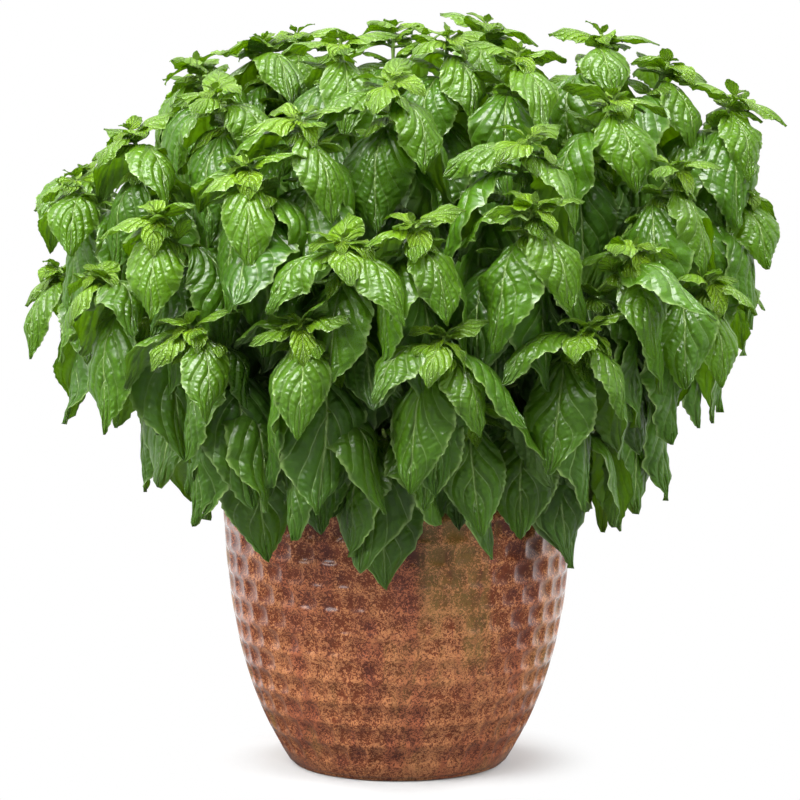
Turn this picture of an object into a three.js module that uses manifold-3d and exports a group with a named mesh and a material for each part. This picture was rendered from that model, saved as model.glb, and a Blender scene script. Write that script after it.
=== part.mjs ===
// A bushy basil plant in a dimpled, glazed stoneware pot.
// Millimetres, +Z up. The origin is the middle of the pot's foot, on the surface that it stands on.
// -Y is the front of the plant and +X its right side, seen from the front.
//
// The plant is a clump of leafy stems that stand in holes in the potting soil. Each stem carries
// pairs of opposite leaves, each pair a quarter turn from the last, as basil grows. Leaves are
// placed one by one, and a leaf that would cross what is there already is bent clear of it.

import * as THREE from "three";
import { mergeVertices } from "three/addons/utils/BufferGeometryUtils.js";
import Module from "manifold-3d";

const wasm = await Module();
wasm.setup();

// ---------------------------------------------------------------- Driving dimensions

const POT = {
  height: 238,
  // The wall's outline is a cubic curve with these four points, as radius and height. Above it the
  // wall draws in a little to the rim.
  curve: [[78, 0], [116, 58], [124.5, 120], [127.5, 200]],
  rimTuck: 1,
  wall: 9,
  floor: 12,
  footBand: 9, // the plain band at the foot
  lipBand: 25, // and the one at the rim
  edge: 2.5, // how far both edges are rounded
  recess: 4, // depth of the hollow under the foot
  recessInset: 14, // from the foot's edge
  drainRadius: 11,
  dimplesAround: 40,
  dimpleRows: 12,
  dimpleDepth: 2,
  inner: 20, // sides of the inside
  innerHeights: [45, 95, 150, 203],
};

const SOIL = {
  top: 210,
  edgeTop: 203,
  slopeWidth: 18, // from the pot's wall to the flat middle
  gap: 0.4,
  holeRadius: 4.2,
  holeDepth: 24,
};

// The egg-shaped dome on which the tips of the shoots lie.
const DOME = { x: 250, y: 236, above: 165, below: 165, centre: 370 };

const STEM = {
  baseRadius: 3.2, // half the diagonal of its square section
  tipRadius: 1.9,
  inSoil: 20,
  point: 0.8, // length of the blunt point at its foot
  outerRoot: 80, // how far from the middle the shoots with the lowest tips are rooted
  innerRoot: 16, // and those with the highest tips
  lowTip: 265, // height of a low tip
  middleShare: 0.6, // tips over the middle are rooted at this share of that
  apart: 14, // least distance between two roots
  pushes: 60, // rounds of pushing them apart
  stations: [0.36, 0.7, 0.97], // where its straight stretches meet
  straightUp: 0.45, // share of the way to the tip that pulls it upwards
  leanOut: 0.4, // and the share that pulls it outwards
  leaning: { height: 270, lift: 0.5 }, // how upright a low tip grows, against its lean outwards
  upright: { height: 450, lift: 2.2 }, // and a high one
};

// Pairs of leaves from the tip of a shoot downwards. back is the distance from the tip, spread the
// angle from the stem, rise the steepest start, droop how far the blade bends down over its first
// stretch, bend, and outward how much it turns to the outside of the plant. Angles are in degrees.
const PAIRS = [
  {
    back: 7, length: 42, width: 22, rings: [0.12, 0.5],
    spread: 56, rise: 50, droop: 62, bend: 0.9, outward: 0,
  },
  {
    back: 15, length: 70, width: 37, rings: [0.1, 0.4, 0.74],
    spread: 70, rise: 32, droop: 92, bend: 0.75, outward: 0.1,
  },
  {
    back: 32, length: 90, width: 49, rings: [0.1, 0.4, 0.74],
    spread: 80, rise: 14, droop: 94, bend: 0.55, outward: 0.3,
  },
  {
    back: 58, length: 98, width: 54, rings: [0.1, 0.38, 0.7],
    spread: 86, rise: 0, droop: 84, bend: 0.45, outward: 0.5,
  },
];

const LEAF = {
  steepest: -88, // no blade bends further down than this
  leastDroop: 25,
  stalk: 0.1, // the stalk's share of the length
  stalkHalfWidth: 2.4,
  stalkHalfThickness: 1.3,
  halfThickness: 0.7,
  sunk: 1.2, // how far the stalk goes past the stem's axis
  ripeness: 0.75, // under 1 puts the widest part nearer to the stalk
  fullness: 0.8,
  curl: [0.3, 0.6], // how far the edges bend down, as a share of the half width
  wave: [0.03, 0.07], // height of the edges' waves, as a share of the width
  waves: 2.2,
  edgePhase: 1.1, // how far the two edges' waves are out of step
  clearance: 0.7,
  limbFrom: 0.14, // the share of the length from which a leaf keeps clear of its own stem's leaves
};

// How far one leaf's numbers differ from another's: plus or minus this.
const VARIETY = { heading: 16, rise: 10, droop: 14, length: 0.1, width: 0.1, roll: 16, sweep: 0.09 };

// Turns about the stem and lifts, in degrees, tried in this order until a leaf is clear.
const BENDS = [
  [0, 0], [12, 0], [-12, 0], [0, 14], [0, -14], [24, 8], [-24, 8], [26, -12], [-26, -12],
  [0, 30], [40, 18], [-40, 18], [42, -8], [-42, -8], [58, 30], [-58, 30],
];
const SIZES = [1, 0.84, 0.68];

// Tips of the front shoots: across, height, turn of the first pair of leaves in degrees, and the
// youngest and the oldest pair that the shoot shows. Their depth follows from the dome.
const FRONT_SHOOTS = [
  [-40, 524, 0, 0, 2], [-5, 498, 70, 1, 2], [35, 528, 40, 0, 2], [84, 516, 15, 1, 2],
  [88, 460, 60, 1, 2], [146, 528, 0, 0, 2], [150, 486, 10, 1, 3], [90, 417, 35, 1, 2],
  [10, 406, 30, 1, 2], [-36, 396, 80, 1, 3], [158, 387, 25, 1, 3], [30, 331, 50, 1, 3],
  [-126, 490, 65, 1, 2], [-100, 443, 20, 1, 2], [-162, 409, 0, 1, 3], [-230, 428, 10, 0, 3],
  [-186, 462, 45, 1, 3], [-145, 508, 80, 1, 2], [242, 484, 15, 1, 3], [191, 440, 50, 1, 3],
  [216, 362, 15, 1, 3], [127, 334, 70, 1, 3], [-64, 340, 10, 1, 3], [-140, 336, 40, 1, 3],
  [-206, 366, 70, 1, 3], [-128, 292, 15, 2, 3], [-65, 290, 60, 2, 3], [-10, 264, 20, 2, 3],
  [54, 288, 75, 2, 3], [109, 270, 30, 2, 3], [146, 260, 55, 2, 3], [248, 420, 20, 1, 3],
  [-66, 474, 30, 1, 2], [-96, 524, 50, 1, 2], [194, 508, 35, 1, 3],
];

// Rows of shoots round the back, and a last one on the crown: height, number, first and last
// bearing, and youngest and oldest pair.
const BACK_ROWS = [
  { height: 286, count: 5, from: 14, to: 162, youngest: 2, oldest: 3 },
  { height: 352, count: 5, from: 8, to: 168, youngest: 1, oldest: 3 },
  { height: 430, count: 5, from: 18, to: 162, youngest: 1, oldest: 3 },
  { height: 500, count: 4, from: 12, to: 158, youngest: 1, oldest: 2 },
  { height: 528, count: 3, from: 10, to: 170, youngest: 1, oldest: 2 },
];
const BACK_JITTER = { place: 8, turn: 25 };

// What leaves keep clear of round the pot.
const KEEP_OUT = { margin: 3.5, heights: [0, 60, 120, 180], sides: 20 };

const CUT = 2; // how far a cutter reaches out of what it cuts
const DRAIN_SIDES = 10;
const SEEDS = { backShoots: 11, leaves: 1000, leavesStep: 77 };

// ---------------------------------------------------------------- Small tools

const UP = new THREE.Vector3(0, 0, 1);
const { degToRad, clamp, lerp } = THREE.MathUtils;

// Even random numbers from 0 to 1, the same on every run.
function randomFrom(seed) {
  let state = seed;
  return () => {
    state = (1664525 * state + 1013904223) % 4294967296;
    return state / 4294967296;
  };
}

// A point or vector: start + factor * vector + ...
function sum(start, ...terms) {
  const total = start.clone();
  for (const [factor, vector] of terms) total.addScaledVector(vector, factor);
  return total;
}

function solid(points, faces) {
  const vertProperties = new Float32Array(points.flatMap((p) => [p.x, p.y, p.z]));
  const triVerts = new Uint32Array(faces.flat());
  return new wasm.Manifold(new wasm.Mesh({ numProp: 3, vertProperties, triVerts }));
}

function solidOf(geometry) {
  geometry.deleteAttribute("normal");
  geometry.deleteAttribute("uv");
  const merged = mergeVertices(geometry, 1e-4);
  const vertProperties = new Float32Array(merged.attributes.position.array);
  const triVerts = new Uint32Array(merged.index.array);
  return new wasm.Manifold(new wasm.Mesh({ numProp: 3, vertProperties, triVerts }));
}

// A solid of revolution about Z from points of radius and height.
function turned(outline, sides) {
  const profile = outline.map(([radius, height]) => new THREE.Vector2(radius, height));
  return solidOf(new THREE.LatheGeometry(profile, sides).rotateX(Math.PI / 2));
}

function meshOf(name, body, material) {
  const { vertProperties, triVerts } = body.getMesh();
  const geometry = new THREE.BufferGeometry();
  geometry.setAttribute("position", new THREE.BufferAttribute(vertProperties, 3));
  geometry.setIndex(new THREE.BufferAttribute(triVerts, 1));
  geometry.computeVertexNormals();
  const mesh = new THREE.Mesh(geometry, material);
  mesh.name = name;
  return mesh;
}

// A closed skin over rings of four corners, drawn together to a point at each end. Every diagonal
// runs from an odd corner to the next ring's even one, so it is alike on both faces of a blade.
function loft(start, rings, end) {
  const points = [start, ...rings.flat(), end];
  const corner = (ring, side) => 1 + ring * 4 + (side % 4);
  const faces = [];
  for (let side = 0; side < 4; side++) {
    faces.push([0, corner(0, side + 1), corner(0, side)]);
    for (let ring = 0; ring + 1 < rings.length; ring++) {
      const quad = [
        corner(ring, side), corner(ring, side + 1), corner(ring + 1, side + 1), corner(ring + 1, side),
      ];
      if (side % 2) quad.push(quad.shift());
      faces.push([quad[0], quad[1], quad[3]], [quad[1], quad[2], quad[3]]);
    }
    const last = rings.length - 1;
    faces.push([points.length - 1, corner(last, side), corner(last, side + 1)]);
  }
  return solid(points, faces);
}

// ---------------------------------------------------------------- Pot

const wallCurve = new THREE.CubicBezierCurve(...POT.curve.map(([r, z]) => new THREE.Vector2(r, z)));
const curveTop = POT.curve[3][1];

// The outer radius of the pot at a height, on the ridges between its dimples.
function potRadius(height) {
  if (height >= curveTop) {
    const share = (height - curveTop) / (POT.height - curveTop);
    return POT.curve[3][0] - POT.rimTuck * share;
  }
  let low = 0;
  let high = 1;
  for (let step = 0; step < 30; step++) {
    const middle = (low + high) / 2;
    if (wallCurve.getPoint(middle).y < height) low = middle;
    else high = middle;
  }
  return wallCurve.getPoint(low).x;
}

// The outside: a net of ridges round hexagonal dimples, one row half a dimple on from the last.
// A dimple is six triangles round its low centre.
function potOutside() {
  const count = POT.dimplesAround;
  const pitch = (POT.height - POT.footBand - POT.lipBand) / (POT.dimpleRows + 1 / 3);
  const points = [];
  const faces = [];

  function ring(height, shift, inset) {
    const first = points.length;
    const radius = potRadius(height) - inset;
    for (let i = 0; i < count; i++) {
      const angle = (2 * Math.PI * (i + (shift % 1))) / count;
      points.push(new THREE.Vector3(radius * Math.cos(angle), radius * Math.sin(angle), height));
    }
    return (i) => first + ((i + count) % count);
  }
  function band(lower, upper) {
    for (let i = 0; i < count; i++) {
      faces.push([lower(i), lower(i + 1), upper(i + 1)], [lower(i), upper(i + 1), upper(i)]);
    }
  }

  const foot = ring(0, 0, POT.edge);
  const footEdge = ring(POT.edge, 0, 0);
  band(foot, footEdge);
  let below = ring(POT.footBand, 0, 0);
  band(footEdge, below);
  let belowRight = null;
  for (let row = 0; row < POT.dimpleRows; row++) {
    const shift = (row % 2) / 2;
    const middle = POT.footBand + (row + 2 / 3) * pitch;
    const lower = row === 0 ? ring(middle - pitch / 3, 0.5, 0) : belowRight;
    const centre = ring(middle, shift, POT.dimpleDepth);
    const upper = ring(middle + pitch / 3, shift + 0.5, 0);
    const above = ring(middle + (2 * pitch) / 3, shift, 0);
    for (let i = 0; i < count; i++) {
      const right = i + 2 * shift;
      const left = right - 1;
      const around = [lower(right), upper(right), above(i), upper(left), lower(left), below(i)];
      around.forEach((corner, k) => faces.push([centre(i), corner, around[(k + 1) % 6]]));
      if (row === 0) faces.push([below(i), below(i + 1), lower(i)]);
      if (row === POT.dimpleRows - 1) faces.push([above(i + 1), above(i), upper(right)]);
    }
    below = upper;
    belowRight = above;
  }
  const lastShift = ((POT.dimpleRows - 1) % 2) / 2;
  const lip = ring(POT.height - POT.edge, lastShift, 0);
  const rim = ring(POT.height, lastShift, POT.edge);
  band(belowRight, lip);
  band(lip, rim);

  const bottom = points.push(new THREE.Vector3(0, 0, 0)) - 1;
  const top = points.push(new THREE.Vector3(0, 0, POT.height)) - 1;
  for (let i = 0; i < count; i++) {
    faces.push([bottom, foot(i + 1), foot(i)], [top, rim(i), rim(i + 1)]);
  }
  return solid(points, faces);
}

// The inside of the wall, or what fills it with a gap, from the floor up to a height.
function insideOutline(gap, top) {
  const floor = POT.floor + gap;
  const heights = [floor, ...POT.innerHeights.filter((height) => height < top), top];
  return [[0, floor], ...heights.map((height) => [potRadius(height) - POT.wall - gap, height])];
}

function makePot() {
  const above = POT.height + CUT;
  const cavity = turned([...insideOutline(0, above), [0, above]], POT.inner);
  const recessRadius = potRadius(0) - POT.recessInset;
  const recess = turned(
    [[0, -CUT], [recessRadius + CUT, -CUT], [recessRadius, POT.recess], [0, POT.recess]], POT.inner);
  const drainTop = POT.floor + CUT;
  const drain = turned(
    [[0, CUT], [POT.drainRadius, CUT], [POT.drainRadius, drainTop], [0, drainTop]], DRAIN_SIDES);
  return potOutside().subtract(cavity).subtract(recess).subtract(drain);
}

// What leaves must stay clear of: the pot and its soil, a little larger than life.
function makePotKeepOut() {
  const { margin, sides } = KEEP_OUT;
  const heights = [...KEEP_OUT.heights, POT.height + margin];
  const outline = heights.map((height) => [potRadius(Math.min(height, POT.height)) + margin, height]);
  return turned([[0, 0], ...outline, [0, POT.height + margin]], sides);
}

// ---------------------------------------------------------------- Soil

function makeSoil(shoots) {
  const outline = insideOutline(SOIL.gap, SOIL.edgeTop);
  const [edgeRadius] = outline[outline.length - 1];
  outline.push([edgeRadius - SOIL.slopeWidth, SOIL.top], [0, SOIL.top]);
  let soil = turned(outline, POT.inner);
  for (const { root } of shoots) {
    const depth = SOIL.holeDepth + CUT;
    const hole = new THREE.CylinderGeometry(SOIL.holeRadius, SOIL.holeRadius, depth, 4);
    hole.rotateX(Math.PI / 2).translate(root.x, root.y, SOIL.top + CUT - depth / 2);
    soil = soil.subtract(solidOf(hole));
  }
  return soil;
}

// ---------------------------------------------------------------- Shoots

// How far the dome reaches at a height, as a share of its widest.
function domeShare(height) {
  const span = height > DOME.centre ? DOME.above : DOME.below;
  return Math.sqrt(Math.max(0, 1 - ((height - DOME.centre) / span) ** 2));
}

function shootTips() {
  const tips = FRONT_SHOOTS.map(([across, height, turn, youngest, oldest]) => {
    const depth = Math.sqrt(Math.max(0, domeShare(height) ** 2 - (across / DOME.x) ** 2));
    return { tip: new THREE.Vector3(across, -DOME.y * depth, height), turn, youngest, oldest };
  });
  const random = randomFrom(SEEDS.backShoots);
  for (const row of BACK_ROWS) {
    for (let i = 0; i < row.count; i++) {
      const bearing = lerp(row.from, row.to, i / (row.count - 1));
      const [right, back] = [Math.cos(degToRad(bearing)), Math.sin(degToRad(bearing))];
      const jitter = (amount) => (random() * 2 - 1) * amount;
      const share = domeShare(row.height);
      const tip = new THREE.Vector3(
        DOME.x * share * right + jitter(BACK_JITTER.place),
        DOME.y * share * back + jitter(BACK_JITTER.place),
        row.height + jitter(BACK_JITTER.place));
      const turn = bearing + jitter(BACK_JITTER.turn);
      tips.push({ tip, turn, youngest: row.youngest, oldest: row.oldest });
    }
  }
  return tips;
}

// Roots lie in the direction of their tips, low shoots further out, and are then pushed apart.
function placeRoots(shoots) {
  for (const shoot of shoots) {
    const { tip } = shoot;
    const crown = DOME.centre + DOME.above;
    const height = clamp((tip.z - STEM.lowTip) / (crown - STEM.lowTip), 0, 1);
    const reach = clamp(Math.hypot(tip.x, tip.y) / DOME.y, 0, 1);
    const radius = lerp(STEM.outerRoot, STEM.innerRoot, height) * lerp(STEM.middleShare, 1, reach);
    const bearing = Math.atan2(tip.y, tip.x);
    shoot.root = new THREE.Vector3(
      radius * Math.cos(bearing), radius * Math.sin(bearing), SOIL.top);
  }
  for (let round = 0; round < STEM.pushes; round++) {
    shoots.forEach((a, i) => shoots.slice(i + 1).forEach((b) => {
      const between = b.root.clone().sub(a.root);
      const lack = STEM.apart - between.length();
      if (lack <= 0) return;
      between.normalize().multiplyScalar(lack / 2);
      a.root.sub(between);
      b.root.add(between);
    }));
    for (const { root } of shoots) {
      const radius = Math.hypot(root.x, root.y);
      const shrink = Math.min(1, STEM.outerRoot / radius);
      root.x *= shrink;
      root.y *= shrink;
    }
  }
}

// The stem's straight stretches, from the soil to the tip, and the way that its tip points.
function stemPath({ root, tip }) {
  const distance = root.distanceTo(tip);
  const outward = new THREE.Vector3(tip.x / DOME.x, tip.y / DOME.y, 0);
  const { leaning, upright } = STEM;
  const share = (tip.z - leaning.height) / (upright.height - leaning.height);
  const lift = lerp(leaning.lift, upright.lift, clamp(share, 0, 1));
  const axis = sum(outward, [lift, UP]).normalize();
  const curve = new THREE.CubicBezierCurve3(
    root,
    sum(root, [STEM.straightUp * distance, UP]),
    sum(tip, [-STEM.leanOut * distance, axis]),
    tip);
  return [root, ...STEM.stations.map((station) => curve.getPoint(station)), tip];
}

// The point on the path that lies a distance back from the tip, and the way the stem runs there.
function nodeOn(path, back) {
  let rest = back;
  for (let i = path.length - 1; i > 0; i--) {
    const along = path[i].clone().sub(path[i - 1]);
    const length = along.length();
    along.normalize();
    if (rest <= length || i === 1) return { at: sum(path[i], [-rest, along]), along };
    rest -= length;
  }
}

// Two directions across another one, so that the three are right-handed.
function across(direction) {
  const side = new THREE.Vector3(1, 0, 0).addScaledVector(direction, -direction.x).normalize();
  return [side, direction.clone().cross(side)];
}

function makeStem(path) {
  const [root] = path;
  const foot = sum(root, [-STEM.inSoil, UP]);
  const centres = [foot, ...path.slice(0, -1)];
  const rings = centres.map((centre, i) => {
    const radius = lerp(STEM.baseRadius, STEM.tipRadius, i / (centres.length - 1));
    const before = centres[Math.max(i - 1, 0)];
    const after = i < 2 ? sum(centre, [1, UP]) : (centres[i + 1] ?? path[path.length - 1]);
    const direction = i < 2 ? UP : after.clone().sub(before).normalize();
    const [side, other] = across(direction);
    return [[radius, side], [radius, other], [-radius, side], [-radius, other]]
      .map((term) => sum(centre, term));
  });
  return loft(sum(foot, [-STEM.point, UP]), rings, path[path.length - 1]);
}

// ---------------------------------------------------------------- Leaves

// The leaves of a shoot. Each one's own differences are drawn here, in a fixed order.
function leavesOf(shoot, number) {
  const random = randomFrom(SEEDS.leaves + SEEDS.leavesStep * number);
  const vary = (amount) => (random() * 2 - 1) * amount;
  const leaves = [];
  PAIRS.forEach((pair, k) => {
    for (const side of [0, 1]) {
      const own = {
        heading: vary(VARIETY.heading),
        rise: vary(VARIETY.rise),
        droop: vary(VARIETY.droop),
        length: 1 + vary(VARIETY.length),
        width: 1 + vary(VARIETY.width),
        roll: vary(VARIETY.roll),
        sweep: vary(VARIETY.sweep),
        curl: lerp(...LEAF.curl, random()),
        wave: lerp(...LEAF.wave, random()),
        phase: 2 * Math.PI * random(),
      };
      if (k < shoot.youngest || k > shoot.oldest) continue;
      const { at, along } = nodeOn(shoot.path, pair.back);
      const [x, y] = across(along);
      const turn = degToRad(shoot.turn + 90 * k + 180 * side);
      const spread = degToRad(pair.spread);
      const direction = sum(along.clone().multiplyScalar(Math.cos(spread)),
        [Math.sin(spread) * Math.cos(turn), x], [Math.sin(spread) * Math.sin(turn), y]);
      const out = Math.atan2(at.y, at.x);
      const heading = Math.atan2(direction.y, direction.x);
      const off = Math.atan2(Math.sin(out - heading), Math.cos(out - heading));
      leaves.push({
        ...own,
        k,
        at,
        heading: heading + pair.outward * off + degToRad(own.heading),
        rise: Math.min(Math.asin(direction.z), degToRad(pair.rise)) + degToRad(own.rise),
        droop: degToRad(pair.droop + own.droop),
        length: pair.length * own.length,
        width: pair.width * own.width,
        roll: degToRad(own.roll),
        bend: pair.bend,
        rings: pair.rings,
      });
    }
  });
  return leaves;
}

function bent(leaf, [turn, lift], size) {
  const rise = leaf.rise + degToRad(lift);
  const most = rise - degToRad(LEAF.steepest);
  return {
    ...leaf,
    heading: leaf.heading + degToRad(turn),
    rise,
    droop: Math.max(Math.min(leaf.droop, most), degToRad(LEAF.leastDroop)),
    length: leaf.length * size,
    width: leaf.width * size,
  };
}

// Half the blade's width at a share of the way from stem to tip.
function halfWidth(leaf, s) {
  if (s <= LEAF.stalk) return LEAF.stalkHalfWidth;
  const t = (s - LEAF.stalk) / (1 - LEAF.stalk);
  return (leaf.width / 2) * Math.sin(Math.PI * t ** LEAF.ripeness) ** LEAF.fullness;
}

// The midrib bends down in an arc from the stem and is straight from there on. Its point, and the
// directions to the left and square to the blade, at a share of its length.
function midrib(leaf, s) {
  const bentShare = Math.min(s / leaf.bend, 1);
  const pitch = leaf.rise - leaf.droop * bentShare;
  const radius = (leaf.length * leaf.bend) / leaf.droop;
  const straight = leaf.length * (s - bentShare * leaf.bend);
  const forward = radius * (Math.sin(leaf.rise) - Math.sin(pitch)) + straight * Math.cos(pitch);
  const upward = radius * (Math.cos(pitch) - Math.cos(leaf.rise)) + straight * Math.sin(pitch);
  const heading = new THREE.Vector3(Math.cos(leaf.heading), Math.sin(leaf.heading), 0);
  const level = new THREE.Vector3(-heading.y, heading.x, 0);
  const square = sum(heading.clone().multiplyScalar(-Math.sin(pitch)), [Math.cos(pitch), UP]);
  const left = sum(level.clone().multiplyScalar(Math.cos(leaf.roll)), [Math.sin(leaf.roll), square]);
  const normal = sum(square.clone().multiplyScalar(Math.cos(leaf.roll)), [-Math.sin(leaf.roll), level]);
  const centre = sum(leaf.at, [forward, heading], [upward, UP], [leaf.sweep * leaf.length * s * s, level]);
  return { centre, left, normal };
}

// A blade is thickest at its midrib and comes to an edge that waves up and down. grow makes it
// larger all round. The limb alone leaves out the stalk.
function makeBlade(leaf, grow = 0, limbOnly = false) {
  const rings = leaf.rings.slice(limbOnly ? 1 : 0).map((s) => {
    const { centre, left, normal } = midrib(leaf, s);
    const half = halfWidth(leaf, s);
    const thick = (s <= LEAF.stalk ? LEAF.stalkHalfThickness : LEAF.halfThickness) + grow;
    const edge = (side) => {
      const wave = Math.sin(2 * Math.PI * LEAF.waves * s + leaf.phase + side * LEAF.edgePhase);
      const lift = s <= LEAF.stalk ? 0 : leaf.wave * leaf.width * wave - leaf.curl * half;
      return sum(centre, [side * (half + grow), left], [lift, normal]);
    };
    return [edge(1), sum(centre, [thick, normal]), edge(-1), sum(centre, [-thick, normal])];
  });
  const start = limbOnly ? midrib(leaf, LEAF.limbFrom) : midrib(leaf, -LEAF.sunk / leaf.length);
  return loft(start.centre, rings, midrib(leaf, 1 + grow / leaf.length).centre);
}

function boxesMeet(a, b) {
  return [0, 1, 2].every((i) => a.min[i] <= b.max[i] && b.min[i] <= a.max[i]);
}

function crosses(test, thing) {
  if (!boxesMeet(test.boundingBox(), thing.box)) return false;
  const common = test.intersect(thing.body);
  const empty = common.isEmpty();
  common.delete();
  return !empty;
}

// Places every leaf, small ones first, each in the first way in which it is clear of the pot, of
// the other stems and of all the leaves so far. One that is never clear is left out.
function placeLeaves(shoots, keepOut) {
  const things = [{ body: keepOut, box: keepOut.boundingBox(), shoot: null }];
  for (const shoot of shoots) {
    shoot.blades = [];
    things.push({ body: shoot.stem, box: shoot.stem.boundingBox(), shoot, stem: true });
  }
  const all = shoots.flatMap((shoot, i) => leavesOf(shoot, i).map((leaf) => ({ shoot, leaf })));
  all.sort((a, b) => a.leaf.k - b.leaf.k);
  for (const { shoot, leaf } of all) {
    const ways = SIZES.flatMap((size) => BENDS.map((bend) => bent(leaf, bend, size)));
    for (const way of ways) {
      const grown = makeBlade(way, LEAF.clearance);
      const limb = makeBlade(way, LEAF.clearance, true);
      const hit = things.some((thing) => {
        if (thing.shoot !== shoot) return crosses(grown, thing);
        return !thing.stem && crosses(limb, { body: thing.limb, box: thing.limb.boundingBox() });
      });
      grown.delete();
      limb.delete();
      if (hit) continue;
      const body = makeBlade(way);
      things.push({ body, box: body.boundingBox(), shoot, limb: makeBlade(way, 0, true) });
      shoot.blades.push(body);
      break;
    }
  }
}

// ---------------------------------------------------------------- The plant in its pot

const glaze = new THREE.MeshStandardMaterial({ color: 0xa5694a, roughness: 0.3, metalness: 0 });
const earth = new THREE.MeshStandardMaterial({ color: 0x3a281c, roughness: 0.95, metalness: 0 });

// Neighbouring stems have different greens, so that they can be told apart.
const greens = [0x4f8f2a, 0x3f7a2c, 0x5d9a33, 0x35702a, 0x6aa63a]
  .map((color) => new THREE.MeshStandardMaterial({ color, roughness: 0.4, metalness: 0 }));

const group = new THREE.Group();
group.name = "potted_basil_plant";

const shoots = shootTips();
placeRoots(shoots);
for (const shoot of shoots) {
  shoot.path = stemPath(shoot);
  shoot.stem = makeStem(shoot.path);
}
placeLeaves(shoots, makePotKeepOut());

group.add(meshOf("pot", makePot(), glaze));
group.add(meshOf("potting_soil", makeSoil(shoots), earth));
shoots.forEach((shoot, i) => {
  const body = shoot.blades.reduce((whole, blade) => whole.add(blade), shoot.stem);
  const name = `leafy_stem_${String(i + 1).padStart(2, "0")}`;
  group.add(meshOf(name, body, greens[i % greens.length]));
});

export default group;
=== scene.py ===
"""A bushy basil plant in a dimpled, glazed stoneware pot.

Everything is in metres, with +Z up. The origin is the middle of the pot's foot, -Y is the front
of the plant and +X its right side, seen from the front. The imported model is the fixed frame: each
piece made here stands for the node of the same place and keeps its form.
"""

from functools import reduce
from math import atan2, ceil, cos, hypot, pi, radians, sin, sqrt

import bmesh
import bpy
import numpy as np
from bpy.props import FloatProperty, FloatVectorProperty, IntProperty, PointerProperty
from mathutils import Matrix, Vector, noise
from mathutils.kdtree import KDTree


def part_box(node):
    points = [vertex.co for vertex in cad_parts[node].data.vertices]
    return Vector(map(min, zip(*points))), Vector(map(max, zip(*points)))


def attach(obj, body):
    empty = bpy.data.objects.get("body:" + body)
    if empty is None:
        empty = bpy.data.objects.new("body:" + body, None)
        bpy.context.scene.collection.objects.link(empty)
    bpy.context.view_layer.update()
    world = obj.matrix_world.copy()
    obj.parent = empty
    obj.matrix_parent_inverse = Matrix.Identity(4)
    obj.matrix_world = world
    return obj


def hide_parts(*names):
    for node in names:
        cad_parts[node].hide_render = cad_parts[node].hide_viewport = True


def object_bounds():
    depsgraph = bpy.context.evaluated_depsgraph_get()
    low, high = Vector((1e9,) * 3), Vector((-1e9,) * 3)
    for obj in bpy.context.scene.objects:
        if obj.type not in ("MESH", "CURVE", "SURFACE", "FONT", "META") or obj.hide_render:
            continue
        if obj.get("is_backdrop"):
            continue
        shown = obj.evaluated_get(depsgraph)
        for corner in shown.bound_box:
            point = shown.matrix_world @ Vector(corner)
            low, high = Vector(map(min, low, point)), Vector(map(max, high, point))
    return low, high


bl_info = {
    "name": "Potted basil plant",
    "version": (1, 0, 0),
    "blender": (4, 5, 0),
    "location": "View3D > Sidebar > Basil",
    "description": "Models a basil plant with waved, veined leaves in a dimpled stoneware pot",
    "category": "Add Mesh",
}

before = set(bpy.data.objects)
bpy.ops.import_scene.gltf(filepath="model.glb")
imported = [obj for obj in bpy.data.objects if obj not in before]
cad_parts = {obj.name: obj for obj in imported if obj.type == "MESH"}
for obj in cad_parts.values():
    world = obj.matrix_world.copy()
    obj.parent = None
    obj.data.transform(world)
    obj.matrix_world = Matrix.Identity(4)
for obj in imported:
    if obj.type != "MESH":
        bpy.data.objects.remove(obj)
SOURCE_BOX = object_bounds()

MM = 0.001
UP = np.array([0.0, 0.0, 1.0])

# --- Form of the plant, as in the solids

# The pot's wall is a cubic curve with these handles, as radius and height. Above, it draws in.
POT_CURVE = [(0.078, 0.0), (0.116, 0.058), (0.1245, 0.120), (0.1275, 0.200)]
POT_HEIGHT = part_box("pot")[1].z
RIM_TUCK = 0.001
WALL = 0.009
FLOOR = 0.012
FOOT_BAND = 0.009
LIP_BAND = 0.025
POT_EDGE = 0.0025
RECESS = 0.004
RECESS_INSET = 0.014
DRAIN_RADIUS = 0.011
FILLET, CHAMFER = 0.006, 0.001

SOIL_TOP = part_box("potting_soil")[1].z
SOIL_EDGE_TOP = 0.203
SOIL_SLOPE = 0.018
SOIL_GAP = 0.0004

# The egg-shaped dome on which the tips of the shoots lie: half its width and depth, how far it
# reaches above and below its widest, and the height of that.
DOME_X, DOME_Y = 0.250, 0.236
DOME_ABOVE, DOME_BELOW, DOME_CENTRE = 0.165, 0.165, 0.370

STEM_IN_SOIL = 0.020
STEM_POINT = 0.0008
ROOTS_WITHIN = 0.090  # every stem stands this near to the pot's axis
STEM_STATIONS = (0.36, 0.7, 0.97)
STRAIGHT_UP, LEAN_OUT = 0.45, 0.4
UPRIGHT = dict(low=0.270, span=0.180, least=0.5, most=2.2)  # how upright a tip grows, by its height


def pairs_of(*rows):
    """Pairs of leaves, by how far back from the tip they sit. Angles are in degrees."""
    names = ("back", "length", "width", "spread", "rise", "droop", "bend", "outward")
    return [dict(zip(names, row)) for row in rows]


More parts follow.
